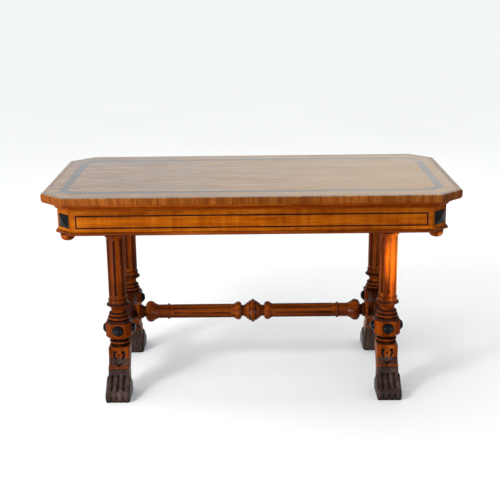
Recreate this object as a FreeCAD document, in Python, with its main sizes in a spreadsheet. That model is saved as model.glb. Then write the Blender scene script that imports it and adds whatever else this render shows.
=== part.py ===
import FreeCAD, Part
import os
import re
import Sketcher

# A centre table: a canted top and frieze on twin fluted columns at each end,
# with bossed blocks, carved paw feet, cross rails and a turned stretcher.
# Millimetres. X runs along the table, Y towards its back and Z up.
# The origin is on the floor under the middle of the top.

SIZES = {
    # top board, its lipping and its inlaid band
    "top_length": 1025.0,
    "top_width": 540.0,
    "top_cant": 60.0,
    "top_thickness": 17.0,
    "top_overhang": 35.5,
    "lipping_width": 14.0,
    "lipping_round": 3.5,
    "band_width": 18.0,
    "band_depth": 2.0,
    "band_end_margin": 40.5,
    "band_side_margin": 56.0,
    "band_cant": 34.0,
    # mouldings under the top and round the foot of the frieze
    "cove_height": 20.0,
    "cove_setback": 2.0,
    "cove_fillet": 4.0,
    "cove_step": 2.0,
    "cove_foot": 5.0,
    "bead_height": 8.0,
    "bead_projection": 6.0,
    # frieze rails, corner pieces and their ornament
    "apron_height": 83.0,
    "rail_thickness": 22.0,
    "tongue_length": 7.0,
    "tongue_thickness": 6.0,
    "tongue_inset": 3.0,
    "tongue_shoulder": 8.0,
    "string_width": 3.2,
    "string_depth": 2.0,
    "string_height": 33.2,
    "string_bottom": 16.8,
    "string_margin": 10.5,
    "panel_width": 39.0,
    "panel_base": 2.0,
    "panel_rise": 4.0,
    "panel_flat": 4.0,
    "pendant_radius": 17.5,
    "pendant_height": 16.0,
    "pendant_rim_height": 3.0,
    "pendant_tip_radius": 6.5,
    "pendant_spigot_radius": 5.0,
    "pendant_spigot_length": 14.0,
    "pendant_inset": 8.0,
    # bearers, glue blocks and screws under the top
    "bearer_width": 60.0,
    "dado_depth": 6.0,
    "glue_block_width": 20.0,
    "glue_block_length": 60.0,
    "glue_block_gap": 69.0,
    "screw_radius": 2.5,
    "screw_head_radius": 5.0,
    "screw_head_height": 3.0,
    "screw_grip": 24.0,
    "screw_bite": 11.0,
    "screw_spacing": 110.0,
    # columns
    "leg_end_inset": 128.0,
    "leg_side_inset": 113.0,
    "column_height": 254.0,
    "column_radius": 23.0,
    "tenon_radius": 12.0,
    "tenon_length": 20.0,
    "torus_radius": 28.5,
    "torus_height": 11.0,
    "base_bead_radius": 25.5,
    "base_bead_height": 9.0,
    "base_neck_radius": 19.0,
    "base_neck_height": 3.0,
    "flange_radius": 30.0,
    "flange_underside": 16.5,
    "flange_rim": 2.5,
    "flange_slope": 11.0,
    "shaft_fillet_radius": 25.0,
    "shaft_fillet_height": 3.0,
    "astragal_radius": 27.0,
    "astragal_height": 9.0,
    "bell_radius": 31.0,
    "bell_height": 15.5,
    "abacus_radius": 33.0,
    "abacus_height": 8.0,
    "flute_radius": 3.5,
    "flute_lift": 0.2,
    "flute_count": 8,
    "flute_low_margin": 11.5,
    "flute_high_margin": 5.0,
    # blocks, bosses and turned collars
    "block_width": 66.0,
    "block_height": 48.0,
    "block_chamfer": 15.0,
    "block_top_chamfer": 6.0,
    "block_bottom_chamfer": 6.0,
    "boss_radius": 14.2,
    "boss_height": 9.5,
    "boss_seat": 1.5,
    "boss_peg_radius": 4.0,
    "boss_peg_length": 8.0,
    "collar_height": 23.0,
    "collar_radius": 24.0,
    "collar_bead_height": 9.0,
    "collar_waist": 19.5,
    "collar_fillet_height": 2.5,
    # carved paw feet
    "foot_height": 125.0,
    "foot_width": 54.0,
    "foot_front": 29.0,
    "foot_back": 26.0,
    "foot_panel_height": 23.0,
    "foot_sweep": 16.0,
    "foot_fillet_level": 77.0,
    "foot_fillet_height": 4.0,
    "foot_fillet_lip": 2.0,
    "paw_width": 62.0,
    "paw_reach": 100.0,
    "paw_start": 53.0,
    "paw_start_level": 58.0,
    "paw_toe_start": 86.0,
    "paw_toe_level": 30.0,
    "paw_toe_lift": 14.0,
    "paw_toe_tuck": 4.0,
    "paw_back": 14.0,
    "paw_round": 3.0,
    "heel_inset": 8.0,
    "heel_level": 30.0,
    "toe_groove_radius": 3.0,
    "toe_groove_lift": 0.1,
    "toe_groove_spacing": 15.2,
    "toe_groove_count": 3,
    "toe_notch_depth": 2.0,
    "foot_tenon_radius": 12.0,
    "foot_tenon_bite": 20.0,
    "carving_depth": 3.0,
    "carving_eye_radius": 3.6,
    "carving_eye_spacing": 21.8,
    "carving_eye_drop": 14.0,
    "carving_stud_radius": 2.7,
    "carving_stud_drop": 21.5,
    "carving_scroll_spread": 32.0,
    "carving_scroll_width": 6.0,
    "carving_scroll_drop": 29.5,
    "carving_scroll_foot": 19.0,
    "carving_vee_drop": 34.5,
    "carving_vee_fall": 10.0,
    "carving_vee_spread": 46.0,
    "carving_vee_line": 4.0,
    # cross rails
    "cross_rail_thickness": 50.0,
    "cross_rail_height": 44.0,
    "cross_rail_chamfer": 6.0,
    "cross_rail_rise": 24.0,
    "cross_tenon_thickness": 20.0,
    "cross_tenon_height": 26.0,
    "cross_tenon_length": 14.0,
    # turned stretcher, from its middle outwards
    "knop_radius": 32.0,
    "knop_ridge": 2.5,
    "knop_shoulder_radius": 29.5,
    "knop_half_length": 23.0,
    "mid_neck_radius": 15.3,
    "mid_neck_length": 8.0,
    "mid_ring_radius": 25.0,
    "mid_ring_base_radius": 20.0,
    "mid_ring_length": 18.0,
    "mid_fillet_length": 3.0,
    "shaft_radius": 18.6,
    "shaft_flute_radius": 3.2,
    "shaft_flute_lift": 0.3,
    "shaft_flute_low_margin": 7.0,
    "shaft_flute_high_margin": 12.0,
    "thin_ring_radius": 21.8,
    "thin_ring_length": 6.0,
    "vase_length": 59.0,
    "vase_radius": 29.0,
    "vase_stem_radius": 18.7,
    "vase_stem_length": 24.0,
    "vase_bulb_length": 34.0,
    "vase_lip_radius": 17.0,
    "end_neck_radius": 15.0,
    "end_neck_length": 7.0,
    "small_ring_radius": 19.0,
    "small_ring_length": 6.0,
    "end_collar_radius": 25.5,
    "end_collar_base_radius": 20.0,
    "end_collar_length": 13.0,
    "end_disc_length": 7.0,
    "stretcher_tenon_radius": 11.0,
    "stretcher_tenon_length": 22.0,
    # fits and cuts
    "joint_clearance": 0.1,
    "cut_overrun": 5.0,
}

# shares that shape the curved parts of the outlines
HALF_SHARE = "0.5"
COVE_CURVE_SHARE = "0.41"
ROUND_NEAR_SHARE = "(1 - sqrt(0.5))"
ROUND_FAR_SHARE = "sqrt(0.5)"
KNOP_CURVE_SHARE = "0.62"
VASE_RISE_SHARE = "0.3"
VASE_PEAK_SHARE = "0.6"
HEEL_CURVE_SHARE = "0.3"

# heights of the seats above the floor
COLLAR_SEAT = "foot_height"
BLOCK_SEAT = "(foot_height + collar_height)"
COLUMN_SEAT = "(foot_height + collar_height + block_height)"
APRON_SEAT = f"({COLUMN_SEAT} + column_height)"
BOARD_SEAT = f"({APRON_SEAT} + apron_height)"
TABLE_TOP = f"({BOARD_SEAT} + top_thickness)"

# an eight-sided outline set in by a distance loses this share of it from each canted corner
CANT_SHARE = "(2 - sqrt(2))"
MITRE_SHARE = "tan(22.5 deg)"
TOP_HALF_LENGTH = "(top_length / 2)"
TOP_HALF_WIDTH = "(top_width / 2)"
APRON_HALF_LENGTH = "(top_length / 2 - top_overhang)"
APRON_HALF_WIDTH = "(top_width / 2 - top_overhang)"
APRON_CANT = f"(top_cant - {CANT_SHARE} * top_overhang)"
LEG_X = f"({APRON_HALF_LENGTH} - leg_end_inset)"
LEG_Y = f"({APRON_HALF_WIDTH} - leg_side_inset)"
RAIL_LEVEL = f"({BLOCK_SEAT} + cross_rail_rise)"

ARC = "arc"
UP = FreeCAD.Vector(0, 0, 1)
FULL_TURN = 360
HALF_TURN = 180
QUARTER_TURN = 90
EIGHTH_TURN = 45
SAME_POINT = 1e-6
SAME_DIRECTION = 0.01
NODES = []

doc = FreeCAD.newDocument("centre_table")
sheet = doc.addObject("Spreadsheet::Sheet", "Sizes")
for row, (alias, value) in enumerate(SIZES.items(), start=1):
    sheet.set(f"A{row}", alias)
    sheet.set(f"B{row}", str(value))
    sheet.setAlias(f"B{row}", alias)
doc.recompute()


# helpers that bind the geometry to the sheet


def sized(text):
    """Turns a sum of named sizes into an expression on the sheet."""
    return re.sub(r"[a-z]\w*", lambda word: f"Sizes.{word[0]}" if word[0] in SIZES else word[0], text)


def number(text):
    """The present value of a sum of named sizes."""
    return float(sheet.evalExpression(sized(text)))


def point(corner):
    return FreeCAD.Vector(number(corner[0]), number(corner[1]), 0)


def own(body, role):
    """One of the body's own planes or axes."""
    return next(part for part in body.Origin.OriginFeatures if part.Role == role)


def add_sketch(body, role, offset=None):
    """A sketch on one of the body's own planes, moved along that plane's normal by offset."""
    sketch = body.newObject("Sketcher::SketchObject", f"{body.Name}_outline")
    sketch.AttachmentSupport = [(own(body, role), "")]
    sketch.MapMode = "FlatFace"
    if offset:
        sketch.setExpression("AttachmentOffset.Base.z", sized(offset))
    return sketch


def tie(sketch, geometry, end, corner):
    """Ties one point of a sketch to its two distances from the sketch's origin."""
    for kind, axis, text in (("DistanceX", -2, corner[0]), ("DistanceY", -1, corner[1])):
        if text == "0":
            sketch.addConstraint(Sketcher.Constraint("PointOnObject", geometry, end, axis))
        else:
            constraint = Sketcher.Constraint(kind, -1, 1, geometry, end, number(text))
            index = sketch.addConstraint(constraint)
            sketch.setExpression(f"Constraints[{index}]", sized(text))


def outline(sketch, *corners):
    """A closed outline. A corner marked ARC is a point that the arc between its neighbours passes."""
    edges = []
    stops = [index for index, corner in enumerate(corners) if ARC not in corner]
    for index, after in zip(stops, stops[1:] + stops[:1]):
        start, end = point(corners[index]), point(corners[after])
        middle = (index + 1) % len(corners)
        if middle == after:
            edge = sketch.addGeometry(Part.LineSegment(start, end))
            ends = (1, 2)
        else:
            edge = sketch.addGeometry(Part.Arc(start, point(corners[middle]), end))
            runs_on = sketch.getPoint(edge, 1).isEqual(start, SAME_POINT)
            ends = (1, 2) if runs_on else (2, 1)
            mark = sketch.addGeometry(Part.Point(point(corners[middle])), True)
            tie(sketch, mark, 1, corners[middle])
            sketch.addConstraint(Sketcher.Constraint("PointOnObject", mark, 1, edge))
        edges.append((edge, ends, corners[index]))
    for (edge, ends, corner), (before, before_ends, _) in zip(edges, edges[-1:] + edges[:-1]):
        sketch.addConstraint(Sketcher.Constraint("Coincident", before, before_ends[1], edge, ends[0]))
        tie(sketch, edge, ends[0], corner)


def rectangle(sketch, low, high):
    outline(sketch, low, (high[0], low[1]), high, (low[0], high[1]))


def circle(sketch, centre, radius):
    ring = sketch.addGeometry(Part.Circle(point(centre), UP, number(radius)))
    tie(sketch, ring, 3, centre)
    index = sketch.addConstraint(Sketcher.Constraint("Radius", ring, number(radius)))
    sketch.setExpression(f"Constraints[{index}]", sized(radius))


def octagon(sketch, half_length, half_width, cant):
    """A rectangle with its four corners canted at 45 degrees."""
    along = f"({half_length} - {cant})"
    across = f"({half_width} - {cant})"
    outline(
        sketch,
        (half_length, f"-{across}"),
        (half_length, across),
        (along, half_width),
        (f"-{along}", half_width),
        (f"-{half_length}", across),
        (f"-{half_length}", f"-{across}"),
        (f"-{along}", f"-{half_width}"),
        (along, f"-{half_width}"),
    )


def axis_line(sketch, start, end):
    """A construction line that a groove turns about."""
    line = sketch.addGeometry(Part.LineSegment(point(start), point(end)), True)
    tie(sketch, line, 1, start)
    tie(sketch, line, 2, end)


def new_body(label):
    body = doc.addObject("PartDesign::Body", label)
    body.Label = label
    return body


def feature(body, kind, sketch):
    made = body.newObject(f"PartDesign::{kind}", f"{body.Name}_{kind.lower()}")
    made.Profile = sketch
    return made


def pad(body, sketch, length, both_ways=False):
    made = feature(body, "Pad", sketch)
    made.SideType = "Symmetric" if both_ways else "One side"
    made.setExpression("Length", sized(length))
    return made


def pocket(body, sketch, depth, towards_normal=False):
    made = feature(body, "Pocket", sketch)
    made.Reversed = towards_normal
    made.setExpression("Length", sized(depth))
    return made


def turned(body, sketch, axis, kind="Revolution"):
    made = feature(body, kind, sketch)
    made.ReferenceAxis = (sketch, [axis])
    made.Angle = FULL_TURN
    return made


def repeat_round(body, original, role, count):
    """Repeats a cut all round one of the body's own axes."""
    pattern = body.newObject("PartDesign::PolarPattern", f"{body.Name}_round")
    pattern.Originals = [original]
    pattern.Axis = (own(body, role), [""])
    pattern.Angle = FULL_TURN
    pattern.setExpression("Occurrences", sized(count))
    body.Tip = pattern
    return pattern


def flat_face(made, direction):
    """The name of the flat face that lies farthest along a direction."""
    faces = made.Shape.Faces
    normals = [face.normalAt(0, 0) for face in faces]
    facing = [i for i, normal in enumerate(normals) if normal.isEqual(direction, SAME_DIRECTION)]
    farthest = max(facing, key=lambda i: faces[i].CenterOfMass.dot(direction))
    return f"Face{farthest + 1}"


def stand(piece, x="0", y="0", z="0", turn=0):
    """Places a piece by three bound distances and a turn about the upright axis."""
    piece.Placement = FreeCAD.Placement(FreeCAD.Vector(), FreeCAD.Rotation(UP, turn))
    for axis, text in zip("xyz", (x, y, z)):
        piece.setExpression(f"Placement.Base.{axis}", sized(text))
    return piece


def node(piece):
    NODES.append(piece)
    return piece


def group(label, pieces):
    """One node that holds several separate solids."""
    bundle = doc.addObject("Part::Compound", label)
    bundle.Links = pieces
    return node(bundle)


# the four legs: side of the table, place and the turn that points the toes outwards
LEGS = [
    ("front_left", f"-{LEG_X}", f"-{LEG_Y}", 0),
    ("front_right", LEG_X, f"-{LEG_Y}", 0),
    ("back_left", f"-{LEG_X}", LEG_Y, HALF_TURN),
    ("back_right", LEG_X, LEG_Y, HALF_TURN),
]


def long_sides(half_width):
    return [("front", "0", f"-{half_width}", 0), ("back", "0", half_width, HALF_TURN)]


def end_sides(half_length):
    return [("left", f"-{half_length}", "0", -QUARTER_TURN), ("right", half_length, "0", QUARTER_TURN)]


def corner_sides(half_length, half_width, cant):
    """The middle of each canted face and the turn that points its front outwards."""
    x = f"({half_length} - {cant} / 2)"
    y = f"({half_width} - {cant} / 2)"
    return [
        ("front_left", f"-{x}", f"-{y}", -EIGHTH_TURN),
        ("front_right", x, f"-{y}", EIGHTH_TURN),
        ("back_right", x, y, QUARTER_TURN + EIGHTH_TURN),
        ("back_left", f"-{x}", y, -QUARTER_TURN - EIGHTH_TURN),
    ]


# the top


def top_board():
    """The board inside its lipping, grooved for the band and bored for the screws."""
    body = new_body("top_board")
    plan = add_sketch(body, "XY_Plane")
    octagon(
        plan,
        f"({TOP_HALF_LENGTH} - lipping_width)",
        f"({TOP_HALF_WIDTH} - lipping_width)",
        f"(top_cant - {CANT_SHARE} * lipping_width)",
    )
    pad(body, plan, "top_thickness")
    groove = add_sketch(body, "XY_Plane", "top_thickness")
    band_outline(groove, "joint_clearance")
    pocket(body, groove, "band_depth")
    pilots = add_sketch(body, "XY_Plane")
    for x in (LEG_X, f"-{LEG_X}"):
        for y in ("screw_spacing / 2", "-screw_spacing / 2"):
            circle(pilots, (x, y), "screw_radius + joint_clearance")
    pocket(body, pilots, "screw_bite + joint_clearance", towards_normal=True)
    return node(stand(body, z=BOARD_SEAT))


def band_outline(sketch, clearance="0"):
    """The two outlines of the inlaid band, widened by a clearance for its groove."""
    for inset, grow in (("0", clearance), ("band_width", f"(-{clearance})")):
        octagon(
            sketch,
            f"({TOP_HALF_LENGTH} - band_end_margin - {inset} + {grow})",
            f"({TOP_HALF_WIDTH} - band_side_margin - {inset} + {grow})",
            f"(band_cant - {CANT_SHARE} * ({inset} - {grow}))",
        )


def top_band():
    body = new_body("top_band")
    ring = add_sketch(body, "XY_Plane")
    band_outline(ring)
    pad(body, ring, "band_depth")
    return node(stand(body, z=f"{TABLE_TOP} - band_depth"))


# mouldings, each modelled along X with its front towards -Y and its top at the sketch plane


def moulding(label, run, profile, reach):
    """A straight moulding with both ends mitred to meet the next run."""
    body = new_body(label)
    section = add_sketch(body, "YZ_Plane")
    outline(section, *profile)
    pad(body, section, f"{run} + 2 * {reach}", both_ways=True)
    mitres = add_sketch(body, "XY_Plane", "cut_overrun")
    for side in ("", "-"):
        outline(
            mitres,
            (f"{side}({run} / 2 + {reach} * {MITRE_SHARE})", f"-{reach}"),
            (f"{side}({run} / 2 + 2 * {reach})", f"-{reach}"),
            (f"{side}({run} / 2 + 2 * {reach})", reach),
            (f"{side}({run} / 2 - {reach} * {MITRE_SHARE})", reach),
        )
    pocket(body, mitres, "top_thickness + 2 * cut_overrun")
    return body


def moulding_set(name, profile, reach, half_length, half_width, cant, seat):
    """Eight mitred runs round the table, in three nodes: long sides, ends and corners."""
    runs = (
        ("long", long_sides(half_width), f"(2 * ({half_length} - {cant}))"),
        ("end", end_sides(half_length), f"(2 * ({half_width} - {cant}))"),
        ("corner", corner_sides(half_length, half_width, cant), f"({cant} * sqrt(2))"),
    )
    for part, sides, run in runs:
        pieces = []
        for side, x, y, turn in sides:
            piece = moulding(f"{name}_{part}_{side}", run, profile, reach)
            pieces.append(stand(piece, x, y, seat, turn))
        group(f"{name}_{part}s", pieces)


def lipping():
    """The cross-grained edge of the top, with its upper arris rounded."""
    profile = [
        ("0", "-top_thickness"),
        ("lipping_width", "-top_thickness"),
        ("lipping_width", "0"),
        ("lipping_round", "0"),
        (f"lipping_round * {ROUND_NEAR_SHARE}", f"-lipping_round * {ROUND_NEAR_SHARE}", ARC),
        ("0", "-lipping_round"),
    ]
    reach = "(lipping_width + cut_overrun)"
    moulding_set("lipping", profile, reach, TOP_HALF_LENGTH, TOP_HALF_WIDTH, "top_cant", TABLE_TOP)


def cove():
    """The hollow moulding in the angle between the top and the frieze."""
    reach = "(top_overhang - cove_setback)"
    inner = "(cove_foot + cove_step)"
    hollow = f"({reach} - cove_step - {inner})"
    drop = "(cove_height - 2 * cove_fillet)"
    profile = [
        ("0", "0"),
        (f"-{reach}", "0"),
        (f"-{reach}", "-cove_fillet"),
        (f"-({reach} - cove_step)", "-cove_fillet"),
        (
            f"-({inner} + {hollow} * {COVE_CURVE_SHARE})",
            f"-(cove_fillet + {drop} * {COVE_CURVE_SHARE})",
            ARC,
        ),
        (f"-{inner}", f"-(cove_fillet + {drop})"),
        ("-cove_foot", f"-(cove_fillet + {drop})"),
        ("-cove_foot", "-cove_height"),
        ("0", "-cove_height"),
    ]
    moulding_set(
        "cove", profile, "top_overhang", APRON_HALF_LENGTH, APRON_HALF_WIDTH, APRON_CANT, BOARD_SEAT
    )


def bead():
    """The half-round bead along the foot of the frieze."""
    flat = "(bead_projection - bead_height / 2)"
    profile = [
        ("0", "0"),
        (f"-{flat}", "0"),
        ("-bead_projection", "-bead_height / 2", ARC),
        (f"-{flat}", "-bead_height"),
        ("0", "-bead_height"),
    ]
    seat = f"{APRON_SEAT} + bead_height"
    reach = "(bead_projection + cut_overrun)"
    moulding_set("bead", profile, reach, APRON_HALF_LENGTH, APRON_HALF_WIDTH, APRON_CANT, seat)


# the frieze


def string_outline(sketch, run, clearance="0"):
    """The two rectangles of the inlaid line on one frieze face."""
    for inset, grow in (("0", clearance), ("string_width", f"(-{clearance})")):
        side = f"({run} / 2 - string_margin - {inset} + {grow})"
        low = f"(string_bottom + {inset} - {grow})"
        high = f"(string_bottom + string_height - {inset} + {grow})"
        rectangle(sketch, (f"-{side}", low), (side, high))


def apron_rail(side, x, y, turn, run, bearers):
    """A frieze rail with its tongues, its inlay groove and the housings for the bearers."""
    body = new_body(f"apron_{side}")
    plan = add_sketch(body, "XY_Plane")
    rectangle(plan, (f"-{run} / 2", "0"), (f"{run} / 2", "rail_thickness"))
    pad(body, plan, "apron_height")
    tongues = add_sketch(body, "XY_Plane", "tongue_shoulder")
    inner = "(rail_thickness - tongue_inset)"
    for sign in ("", "-"):
        rectangle(
            tongues,
            (f"{sign}({run} / 2)", f"{inner} - tongue_thickness"),
            (f"{sign}({run} / 2 + tongue_length)", inner),
        )
    pad(body, tongues, "apron_height - 2 * tongue_shoulder")
    face = add_sketch(body, "XZ_Plane")
    string_outline(face, run, "joint_clearance")
    pocket(body, face, "string_depth")
    if bearers:
        housings = add_sketch(body, "XY_Plane")
        half = "(bearer_width / 2 + joint_clearance)"
        for sign in ("", "-"):
            rectangle(
                housings,
                (f"{sign}({LEG_X} - {half})", "rail_thickness - dado_depth"),
                (f"{sign}({LEG_X} + {half})", "rail_thickness + cut_overrun"),
            )
        pocket(body, housings, "apron_height", towards_normal=True)
    node(stand(body, x, y, APRON_SEAT, turn))
    line = new_body(f"stringing_{side}")
    frame = add_sketch(line, "XZ_Plane")
    string_outline(frame, run)
    inlay = pad(line, frame, "string_depth")
    inlay.Reversed = True
    node(stand(line, x, y, APRON_SEAT, turn))


def frieze():
    long_run = f"(2 * ({APRON_HALF_LENGTH} - {APRON_CANT}))"
    end_run = f"(2 * ({APRON_HALF_WIDTH} - {APRON_CANT}))"
    for side, x, y, turn in long_sides(APRON_HALF_WIDTH):
        apron_rail(side, x, y, turn, long_run, True)
    for side, x, y, turn in end_sides(APRON_HALF_LENGTH):
        apron_rail(side, x, y, turn, end_run, False)


def corner_piece(corner, x, y, turn):
    """The canted corner that both rails are tongued into, bored for its pendant."""
    body = new_body(f"corner_piece_{corner}")
    half_face = f"({APRON_CANT} / sqrt(2))"
    plan = add_sketch(body, "XY_Plane")
    outline(plan, (f"-{half_face}", "0"), (half_face, "0"), ("0", half_face))
    pad(body, plan, "apron_height")
    mortises = add_sketch(body, "XY_Plane", "tongue_shoulder - joint_clearance")
    near = f"(({APRON_CANT} - rail_thickness + tongue_inset - joint_clearance) / sqrt(2))"
    wide = "((tongue_thickness + 2 * joint_clearance) / sqrt(2))"
    deep = "((tongue_length + joint_clearance) / sqrt(2))"
    for sign in ("", "-"):
        outline(
            mortises,
            (f"{sign}{near}", f"{half_face} - {near}"),
            (f"{sign}({near} + {wide})", f"{half_face} - {near} - {wide}"),
            (f"{sign}({near} + {wide} - {deep})", f"{half_face} - {near} - {wide} - {deep}"),
            (f"{sign}({near} - {deep})", f"{half_face} - {near} - {deep}"),
        )
    pocket(
        body, mortises, "apron_height - 2 * tongue_shoulder + 2 * joint_clearance", towards_normal=True
    )
    socket = add_sketch(body, "XY_Plane")
    circle(socket, ("0", "pendant_inset"), "pendant_spigot_radius + joint_clearance")
    pocket(body, socket, "pendant_spigot_length + joint_clearance", towards_normal=True)
    node(stand(body, x, y, APRON_SEAT, turn))


def corner_panel(corner, x, y, turn):
    """A planted ebony panel with four shallow facets that rise to a small flat."""
    base = doc.addObject("Part::Box", f"panel_base_{corner}")
    for side, text in (("Length", "panel_width"), ("Width", "panel_base"), ("Height", "string_height")):
        base.setExpression(side, sized(text))
    base.setExpression("Placement.Base.x", sized("-panel_width / 2"))
    base.setExpression("Placement.Base.y", sized("-panel_base"))
    facets = doc.addObject("Part::Wedge", f"panel_facets_{corner}")
    bounds = {
        "Xmin": "-panel_flat / 2",
        "Xmax": "panel_flat / 2",
        "Zmin": "(string_height - panel_flat) / 2",
        "Zmax": "(string_height + panel_flat) / 2",
        "Ymin": "-panel_base - panel_rise",
        "Ymax": "-panel_base",
        "X2min": "-panel_width / 2",
        "X2max": "panel_width / 2",
        "Z2min": "0",
        "Z2max": "string_height",
    }
    for side, text in bounds.items():
        setattr(facets, side, number(text))
        facets.setExpression(side, sized(text))
    panel = doc.addObject("Part::Fuse", f"corner_panel_{corner}")
    panel.Base = base
    panel.Tool = facets
    node(stand(panel, x, y, f"{APRON_SEAT} + string_bottom", turn))


def pendant(corner, x, y, turn):
    """A turned half-ball under a canted corner, on a spigot."""
    body = new_body(f"pendant_{corner}")
    profile = add_sketch(body, "XZ_Plane")
    dome = "(pendant_height - pendant_rim_height)"
    swell = "(pendant_radius - pendant_tip_radius)"
    outline(
        profile,
        ("0", "pendant_spigot_length"),
        ("pendant_spigot_radius", "pendant_spigot_length"),
        ("pendant_spigot_radius", "0"),
        ("pendant_radius", "0"),
        ("pendant_radius", "-pendant_rim_height"),
        (
            f"pendant_tip_radius + {swell} * {ROUND_FAR_SHARE}",
            f"-(pendant_rim_height + {dome} * {ROUND_FAR_SHARE})",
            ARC,
        ),
        ("pendant_tip_radius", "-pendant_height"),
        ("0", "-pendant_height"),
    )
    turned(body, profile, "V_Axis")
    inward = "(pendant_inset / sqrt(2))"
    to_middle = {"front_left": ("+", "+"), "front_right": ("-", "+"), "back_right": ("-", "-")}
    sign_x, sign_y = to_middle.get(corner, ("+", "-"))
    node(stand(body, f"{x} {sign_x} {inward}", f"{y} {sign_y} {inward}", APRON_SEAT, turn))


def corners():
    for place in corner_sides(APRON_HALF_LENGTH, APRON_HALF_WIDTH, APRON_CANT):
        corner_piece(*place)
        corner_panel(*place)
        pendant(*place)


# inside the frieze


def bearer(side, x):
    """A cross member under the top that takes the tenons of two columns and two screws."""
    body = new_body(f"bearer_{side}")
    plan = add_sketch(body, "XY_Plane")
    half = f"({APRON_HALF_WIDTH} - rail_thickness + dado_depth)"
    rectangle(plan, ("-bearer_width / 2", f"-{half}"), ("bearer_width / 2", half))
    pad(body, plan, "apron_height")
    sockets = add_sketch(body, "XY_Plane")
    wells = add_sketch(body, "XY_Plane")
    holes = add_sketch(body, "XY_Plane")
    for sign in ("", "-"):
        circle(sockets, ("0", f"{sign}{LEG_Y}"), "tenon_radius + joint_clearance")
        circle(wells, ("0", f"{sign}screw_spacing / 2"), "screw_head_radius + joint_clearance")
        circle(holes, ("0", f"{sign}screw_spacing / 2"), "screw_radius + joint_clearance")
    pocket(body, sockets, "tenon_length + joint_clearance", towards_normal=True)
    pocket(body, wells, "apron_height - screw_grip", towards_normal=True)
    pocket(body, holes, "apron_height", towards_normal=True)
    node(stand(body, x, "0", APRON_SEAT))


def screws():
    """Wood screws driven up through the bearers into the top, heads at the bottom of their wells."""
    made = []
    for side, x in (("left", f"-{LEG_X}"), ("right", LEG_X)):
        for place, y in (("front", "-screw_spacing / 2"), ("back", "screw_spacing / 2")):
            body = new_body(f"screw_{side}_{place}")
            profile = add_sketch(body, "XZ_Plane")
            outline(
                profile,
                ("0", "-screw_head_height"),
                ("screw_head_radius", "-screw_head_height"),
                ("screw_head_radius", "0"),
                ("screw_radius", "0"),
                ("screw_radius", "screw_grip + screw_bite"),
                ("0", "screw_grip + screw_bite"),
            )
            turned(body, profile, "V_Axis")
            made.append(stand(body, x, y, f"{BOARD_SEAT} - screw_grip"))
    group("top_screws", made)


def glue_blocks():
    """Square blocks rubbed into the angle between the top and the long rails."""
    made = []
    inner = f"({APRON_HALF_WIDTH} - rail_thickness)"
    shift = f"({LEG_X} - bearer_width / 2 - glue_block_gap - glue_block_length / 2)"
    shifts = {"left": f"-{shift}", "middle": "0", "right": shift}
    for place, shift in shifts.items():
        for side, y in (("front", f"-{inner}"), ("back", f"{inner} - glue_block_width")):
            block = doc.addObject("Part::Box", f"glue_block_{side}_{place}")
            block.setExpression("Length", sized("glue_block_length"))
            block.setExpression("Width", sized("glue_block_width"))
            block.setExpression("Height", sized("glue_block_width"))
            z = f"{BOARD_SEAT} - glue_block_width"
            made.append(stand(block, f"{shift} - glue_block_length / 2", y, z))
    group("glue_blocks", made)


# the legs

BASE_TOP = "(torus_height + base_bead_height)"
NECK_TOP = f"({BASE_TOP} + base_neck_height)"
FLANGE_SEAT = f"({NECK_TOP} + flange_underside)"
FLANGE_TOP = f"({FLANGE_SEAT} + flange_rim)"
SHAFT_FILLET = f"({FLANGE_TOP} + flange_slope)"
SHAFT_BASE = f"({SHAFT_FILLET} + shaft_fillet_height)"
SHAFT_TOP = "(column_height - abacus_height - bell_height - astragal_height)"


def flute(body, role, from_axis, low, high, radius):
    """A round-ended flute cut along a turned shaft, on a line beside the shaft's axis."""
    upright = role == "Z_Axis"

    def place(out, along):
        return (out, along) if upright else (along, out)

    bottom = f"({from_axis} - {radius})"
    shoulder = f"({from_axis} - {radius} * {ROUND_FAR_SHARE})"
    sketch = add_sketch(body, "XZ_Plane")
    outline(
        sketch,
        place(from_axis, low),
        place(shoulder, f"{low} + {radius} * {ROUND_NEAR_SHARE}") + (ARC,),
        place(bottom, f"{low} + {radius}"),
        place(bottom, f"{high} - {radius}"),
        place(shoulder, f"{high} - {radius} * {ROUND_NEAR_SHARE}") + (ARC,),
        place(from_axis, high),
    )
    axis_line(sketch, place(from_axis, low), place(from_axis, high))
    cut = turned(body, sketch, "Axis0", kind="Groove")
    return repeat_round(body, cut, role, "flute_count")


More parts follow.
